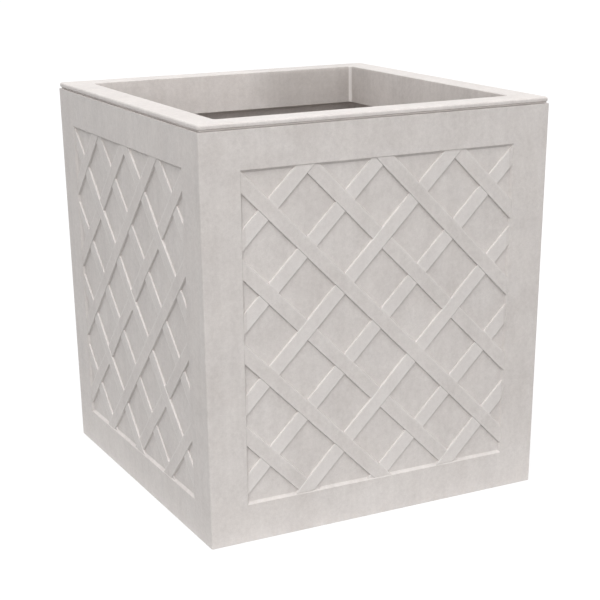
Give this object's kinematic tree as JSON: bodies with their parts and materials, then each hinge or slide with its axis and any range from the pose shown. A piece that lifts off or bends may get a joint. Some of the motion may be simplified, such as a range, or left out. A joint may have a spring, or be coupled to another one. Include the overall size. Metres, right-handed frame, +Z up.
{
  "type": "square floor planter",
  "caption": "Square tapered plastic planter with woven lattice relief on its walls, a lift-off rim frame and drain plugs in the floor.",
  "frame": {"origin": "centre of the square footprint, on the ground", "axes": "+Z up; the front wall looks along -Y and the left wall along -X"},
  "size_m": [0.4064, 0.4064, 0.4351],
  "materials": {
    "shell": "mottled stone look, matte",
    "rim": "mottled stone look, matte",
    "plug": "matte"
  },
  "bodies": {
    "shell": {"outer_shell": "shell"},
    "rim": {"rim_frame": "rim"},
    "plug_front_left": {"drain_plug_front_left": "plug"},
    "plug_front_right": {"drain_plug_front_right": "plug"},
    "plug_rear_left": {"drain_plug_rear_left": "plug"},
    "plug_rear_right": {"drain_plug_rear_right": "plug"}
  },
  "joints": [
    {"name": "rim_lift", "type": "slide", "parent": "shell", "child": "rim", "axis": [0, 0, 1], "range_m": [0, 0.045]},
    {"name": "plug_front_left_pull", "type": "slide", "parent": "shell", "child": "plug_front_left", "axis": [0, 0, 1], "range_m": [0, 0.015]},
    {"name": "plug_front_right_pull", "type": "slide", "parent": "shell", "child": "plug_front_right", "axis": [0, 0, 1], "range_m": [0, 0.015]},
    {"name": "plug_rear_left_pull", "type": "slide", "parent": "shell", "child": "plug_rear_left", "axis": [0, 0, 1], "range_m": [0, 0.015]},
    {"name": "plug_rear_right_pull", "type": "slide", "parent": "shell", "child": "plug_rear_right", "axis": [0, 0, 1], "range_m": [0, 0.015]}
  ]
}
